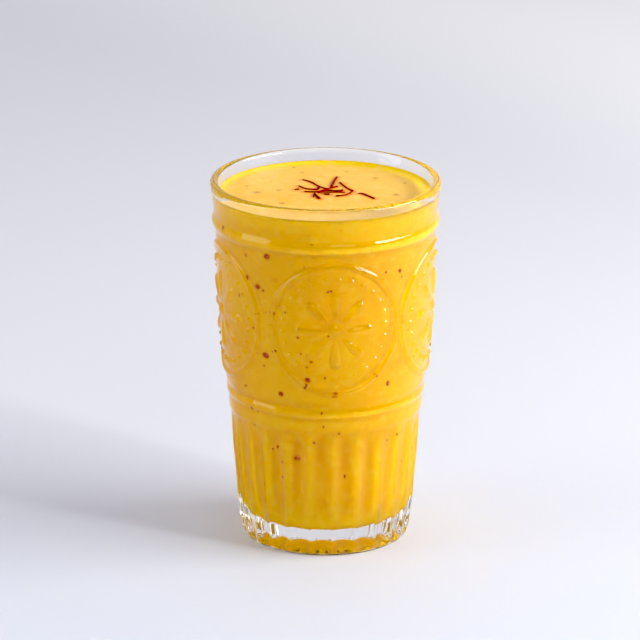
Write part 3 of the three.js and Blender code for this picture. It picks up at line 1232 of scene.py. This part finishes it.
@dataclass
class Drink:
    """The lassi itself, from the floor of the glass to its level, with a small meniscus."""

    tumbler: Tumbler
    flecks: Flecks
    saffron: Saffron
    columns: int = 288
    level: float = 135.4
    bite: float = 0.12
    low_rows: tuple[float, ...] = (15.2, 17.0, 19.0, 22.0)
    # Painted light: the rim band on top is strongest towards this azimuth.
    rim_painted_light_azimuth: float = 125.0
    edge_start: float = 37.4
    edge_widening: float = 2.2
    edge_width: float = 2.2
    bleed_width: float = 1.8
    smudge_width: float = 3.2
    stain_width: float = 1.15
    side_reach: float = 0.3
    side_span: Point2 = (13.0, 134.0)
    still_radius: float = 37.0
    still_width: float = 4.0
    long_wave: float = 0.05
    short_wave: float = 0.03
    brim_depth: float = 0.3
    brim_slope: float = 0.2
    bottom: tuple[Point2, ...] = (
        (0.0, 8.5), (12.0, 8.65), (20.0, 8.9), (23.5, 9.36), (25.3, 9.9), (26.5, 10.55), (27.5, 11.4),
        (28.3, 12.4), (29.0, 13.5),
    )
    meniscus: tuple[Point2, ...] = (
        (40.32, 136.5), (40.0, 136.28), (39.7, 136.05), (39.3, 135.83), (38.8, 135.62), (38.2, 135.48),
        (37.5, 135.41),
    )

    def outline(self) -> list[Point2]:
        """The drink's outline, reaching just into the wall of the glass.

        Returns:
            Radius and height of each point.
        """
        heights = np.concatenate([self.low_rows, np.arange(24.0, 136.0, 1.0)])
        wall = list(zip((self.tumbler.inner_radius(heights) + self.bite).tolist(), heights.tolist()))
        top = [(float(r), self.level) for r in np.arange(36.5, 0.9, -0.8)]
        return [*self.bottom, *wall, *self.meniscus, *top, (0.0, self.level)]

    def stain_masks(self, piece: bpy.types.Object) -> None:
        """Mark where saffron bleeds, where spice stains the drink, and the rim band on top that is partly wet
        rim and partly painted light.

        Args:
            piece: The turned drink.
        """
        points = read_points(piece)
        azimuth, radius, height = unroll(points)
        x, y = points[:, 0], points[:, 1]
        on_top = height > self.level - 0.05
        marks = self.saffron.marks()
        gap = np.min(np.hypot(x[:, None] - marks[:, 0], y[:, None] - marks[:, 1]), axis=1)
        write_mask(piece, "bleed", np.where(on_top, bell(gap, self.bleed_width), 0.0))
        # Painted light: a faint band all round for the wet rim, raised towards the back right as painted
        # light.
        lean = 0.5 + 0.5 * np.cos(np.radians(azimuth - self.rim_painted_light_azimuth))
        start = self.edge_start - self.edge_widening * lean
        rim_wet_and_painted_light_mask = np.clip((radius - start) / self.edge_width, 0, 1) * (0.15 + 0.85 * lean)
        write_mask(piece, "rim_wet_and_painted_light_mask", rim_wet_and_painted_light_mask * on_top)
        smudge, stain = np.zeros(len(points)), np.zeros(len(points))
        for across, back, size in self.flecks.on_top:
            away = np.hypot(x - across, y - back)
            smudge = np.maximum(smudge, bell(away, size * self.smudge_width) * on_top)
        write_mask(piece, "smudge", smudge)
        for centre, middle, size in self.flecks.side_spots():
            away = np.hypot(np.radians(apart(azimuth, centre)) * radius, height - middle)
            stain = np.maximum(stain, bell(away, size * self.stain_width) * (~on_top))
        write_mask(piece, "stain", stain)

    def follow(self, piece: bpy.types.Object) -> None:
        """Let the drink's side follow the pressed forms, as the inside of such a glass does.

        Args:
            piece: The turned drink.
        """
        points = read_points(piece)
        azimuth, radius, height = unroll(points)
        low, high = self.side_span
        wall = self.tumbler.inner_radius(height) - self.side_reach
        side = (radius > wall) & (height > low) & (height < high)
        swell = self.tumbler.swell(azimuth, height)
        push_out(piece, points, np.where(side, 1 + swell / np.maximum(radius, 1.0), 1.0))

    def ripple(self, piece: bpy.types.Object) -> None:
        """Let the surface lie a little uneven, as a thick drink does.

        Args:
            piece: The turned drink.
        """
        points = read_points(piece)
        x, y = points[:, 0], points[:, 1]
        radius = np.hypot(x, y)
        flat = (points[:, 2] > self.level - 0.01) & (radius < self.still_radius)
        wave = self.long_wave * np.sin(x * 0.31 + 1.3) * np.cos(y * 0.27)
        wave += self.short_wave * np.sin(x * 0.83 + y * 0.61)
        share = np.clip((self.still_radius - radius) / self.still_width, 0, 1)
        points[:, 2] += np.where(flat, wave * share, 0.0)
        write_points(piece, points)

    def build(self) -> None:
        """Model the lassi as one closed body."""
        piece = spin_profile(Piece.DRINK.value, self.outline(), self.columns, self.tumbler.flute_phase)
        self.tumbler.refine(piece, -self.side_reach)
        self.stain_masks(piece)
        self.ripple(piece)
        self.follow(piece)
        finish = LassiFinish()
        dress(piece, finish.make_side())
        piece.data.materials.append(finish.make_top())
        brim = (self.level - self.brim_depth) * MM
        faces = piece.data.polygons
        is_open = [int(p.center.z > brim and p.normal.z > self.brim_slope) for p in faces]
        faces.foreach_set("material_index", is_open)
        seat(piece, "lassi")


@dataclass
class Bubbles:
    """Small bubbles that sit in the surface, mostly near the wall."""

    seed: int = 5
    level: float = 135.42
    clusters: tuple[tuple[float, float, float, int], ...] = (
        (-20.5, 19.0, 4.5, 34), (-27.0, 4.0, 5.0, 12), (25.0, 16.0, 6.0, 9), (14.0, -16.0, 8.0, 7),
        (-6.0, -22.0, 9.0, 8),
    )
    smallest: float = 0.12
    size_span: float = 0.3
    flatness: float = 0.45
    pale: Colour = (0.99, 0.68, 0.24, 1.0)
    warm: Colour = (0.97, 0.60, 0.16, 1.0)
    froth: float = 2200.0
    roughness: float = 0.22
    skin_rise: float = 0.00003

    def build(self) -> None:
        """Model all the bubbles as one piece."""
        deselect_all()
        bpy.ops.mesh.primitive_uv_sphere_add(segments=12, ring_count=6, radius=1.0)
        dome = bpy.context.active_object
        chance = random.Random(self.seed)
        places = []
        for x, y, spread, count in self.clusters:
            for _ in range(count):
                size = self.smallest + self.size_span * chance.random() ** 2
                spot = (x + chance.gauss(0, spread * 0.5), y + chance.gauss(0, spread * 0.5), self.level)
                dome_size = Matrix.Diagonal((size, size, size * self.flatness, 1.0))
                places.append(Matrix.Translation(spot) @ dome_size)
        piece = copies_of(Piece.BUBBLES.value, dome, places)
        bench = Bench("bubble_skin")
        froth = bench.spots(self.froth, 2.0)
        shader = bench.skin(
            Base_Color=bench.blend(froth, self.pale, self.warm),
            Roughness=self.roughness,
            Normal=bench.relief(froth, self.skin_rise),
        )
        dress(piece, bench.finish(shader.outputs[0]))
        seat(piece)


@dataclass
class Studio:
    """Pale floor, soft light and the camera at the photograph's angle."""

    eye: Point3 = (0.0, -1.8, 0.6627)
    pitch: float = 0.3108
    yaw: float = -0.0012
    focal_px: float = 4950.7
    picture_px: float = 640.0
    world_colour: Colour = (0.945, 0.93, 1.0, 1.0)
    world_span: Point2 = (-0.9, 0.5)
    world_power: Point2 = (0.23, 0.76)
    floor_size: float = 12.0
    sensor: float = 36.0
    clip: Point2 = (0.05, 60.0)
    bounces: int = 16
    glass_bounces: int = 12
    aim: Point3 = (0.0, 0.0, 0.08)
    black_level: float = 0.035
    lamps: tuple[tuple[str, float, float, float, Point2, float], ...] = (
        ("key_box", 78.0, 28.0, 1.2, (1.0, 0.32), 14.2),
        ("glint_box", 56.0, 36.0, 1.4, (0.12, 0.2), 3.0),
        ("left_fill", -75.0, 15.0, 0.9, (0.5, 0.7), 2.3),
        ("front_fill", 18.0, 30.0, 1.6, (0.6, 0.6), 1.6),
    )

    def floor(self) -> None:
        """Lay the floor on which the tumbler stands."""
        deselect_all()
        bpy.ops.mesh.primitive_plane_add(size=self.floor_size, location=(0, 0, 0))
        floor = bpy.context.active_object
        floor.name = Piece.FLOOR.value
        floor.data.materials.append(PaleSurface().make())

    def lamp(
        self, name: str, azimuth: float, elevation: float, distance: float, size: Point2, power: float
    ) -> None:
        """Hang one soft box that looks at the drink.

        Args:
            name: Name of the lamp.
            azimuth: Degrees from the front towards the right.
            elevation: Degrees above the table.
            distance: Distance in metres.
            size: Width and height in metres.
            power: Power in watts.
        """
        data = bpy.data.lights.new(name, "AREA")
        data.shape = "RECTANGLE"
        data.size, data.size_y = size
        data.energy = power
        lamp = hang(name, data)
        lift = math.radians(elevation)
        way = Vector(around(azimuth, math.cos(lift), math.sin(lift)))
        lamp.location = Vector(self.aim) + way * distance
        lamp.rotation_euler = (-way).to_track_quat("-Z", "Y").to_euler()

    def world(self) -> None:
        """Surround the drink with pale light, weaker from the front."""
        world = bpy.data.worlds.new("studio_world")
        world.use_nodes = True
        wires = Wiring(world.node_tree)
        background = wires.tree.nodes["Background"]
        background.inputs["Color"].default_value = self.world_colour
        power = wires.between(wires.place("Y", "Generated"), self.world_span, self.world_power, "LINEAR")
        wires.join(power, background.inputs["Strength"])
        bpy.context.scene.world = world

    def camera(self) -> None:
        """Put the camera where the photograph was taken from."""
        data = bpy.data.cameras.new("portrait")
        data.sensor_width = self.sensor
        data.lens = self.focal_px * self.sensor / self.picture_px
        data.clip_start, data.clip_end = self.clip
        eye = hang("portrait", data)
        eye.location = self.eye
        eye.rotation_euler = (math.pi / 2 - self.pitch, 0, -self.yaw)
        bpy.context.scene.camera = eye

    def build(self) -> None:
        """Set up the whole studio."""
        self.floor()
        self.world()
        for settings in self.lamps:
            self.lamp(*settings)
        self.camera()
        view, cycles = bpy.context.scene.view_settings, bpy.context.scene.cycles
        view.view_transform = "Standard"
        view.look = "None"
        view.use_curve_mapping = True
        view.curve_mapping.black_level = (self.black_level,) * 3
        view.curve_mapping.update()
        cycles.blur_glossy = 0.0
        cycles.sample_clamp_indirect = 0.0
        cycles.max_bounces = self.bounces
        cycles.transmission_bounces = self.glass_bounces
        cycles.transparent_max_bounces = self.bounces
        LOG.info("studio: floor, world, %d soft boxes and camera", len(self.lamps))


def main() -> None:
    """Build the drink from the glass inwards, then light it."""
    tumbler = Tumbler()
    saffron = Saffron()
    flecks = Flecks(tumbler)
    tumbler.build()
    Drink(tumbler, flecks, saffron).build()
    saffron.build()
    flecks.build()
    Bubbles().build()
    Studio().build()


if __name__ == "__main__":
    main()
